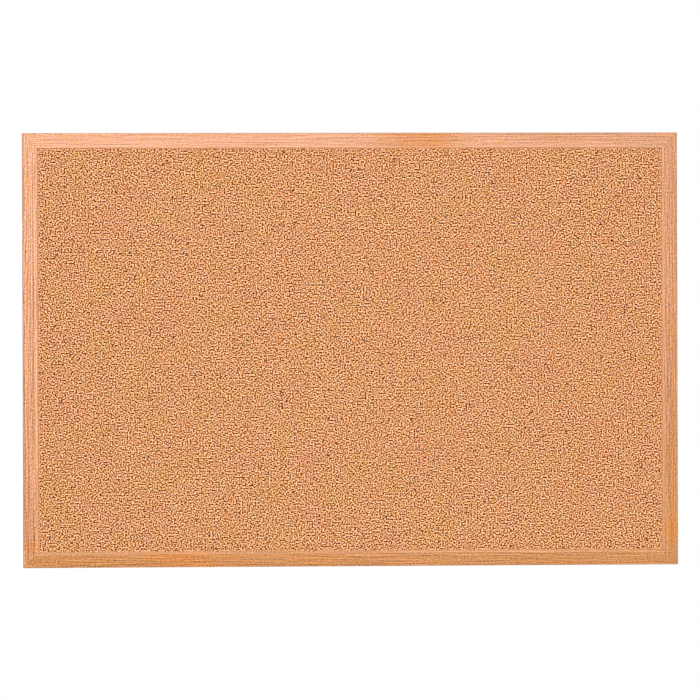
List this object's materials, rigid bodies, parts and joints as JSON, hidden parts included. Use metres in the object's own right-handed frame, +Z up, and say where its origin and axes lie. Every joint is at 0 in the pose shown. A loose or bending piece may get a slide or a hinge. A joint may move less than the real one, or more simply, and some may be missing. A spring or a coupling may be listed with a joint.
{
  "type": "cork bulletin board",
  "caption": "Wall-hung bulletin board: a granulated cork sheet on a hardboard backer in a mitred red oak frame, with swinging D-ring hangers on its back.",
  "frame": {"origin": "in the plane of the wall that the board hangs on, behind the centre of the board", "axes": "+X to the right as a reader faces the board, +Y into the wall, +Z up"},
  "size_m": [0.902, 0.0236, 0.597],
  "materials": {
    "oak": "satin",
    "cork": "matte",
    "hardboard": "matte",
    "zinc_steel": "satin",
    "rubber": "matte"
  },
  "bodies": {
    "board": {"top_rail": "oak", "bottom_rail": "oak", "left_stile": "oak", "right_stile": "oak", "cork_sheet": "cork", "backer_board": "hardboard", "corner_nail_top_left_outer": "zinc_steel", "corner_nail_top_left_inner": "zinc_steel", "corner_nail_top_right_outer": "zinc_steel", "corner_nail_top_right_inner": "zinc_steel", "corner_nail_bottom_left_outer": "zinc_steel", "corner_nail_bottom_left_inner": "zinc_steel", "corner_nail_bottom_right_outer": "zinc_steel", "corner_nail_bottom_right_inner": "zinc_steel", "framer_point_top_1": "zinc_steel", "framer_point_top_2": "zinc_steel", "framer_point_top_3": "zinc_steel", "framer_point_top_4": "zinc_steel", "framer_point_top_5": "zinc_steel", "framer_point_bottom_1": "zinc_steel", "framer_point_bottom_2": "zinc_steel", "framer_point_bottom_3": "zinc_steel", "framer_point_bottom_4": "zinc_steel", "framer_point_bottom_5": "zinc_steel", "framer_point_left_1": "zinc_steel", "framer_point_left_2": "zinc_steel", "framer_point_left_3": "zinc_steel", "framer_point_right_1": "zinc_steel", "framer_point_right_2": "zinc_steel", "framer_point_right_3": "zinc_steel", "left_hanger_strap": "zinc_steel", "left_hanger_screw": "zinc_steel", "left_bumper": "rubber", "right_hanger_strap": "zinc_steel", "right_hanger_screw": "zinc_steel", "right_bumper": "rubber"},
    "left_ring": {"left_hanger_ring": "zinc_steel"},
    "right_ring": {"right_hanger_ring": "zinc_steel"}
  },
  "joints": [
    {"name": "left_ring_swing", "type": "hinge", "parent": "board", "child": "left_ring", "pos_m": [-0.443, -0.0021, 0.17845], "axis": [1, 0, 0], "range_deg": [0, 180]},
    {"name": "right_ring_swing", "type": "hinge", "parent": "board", "child": "right_ring", "pos_m": [0.443, -0.0021, 0.17845], "axis": [1, 0, 0], "range_deg": [0, 180]}
  ]
}
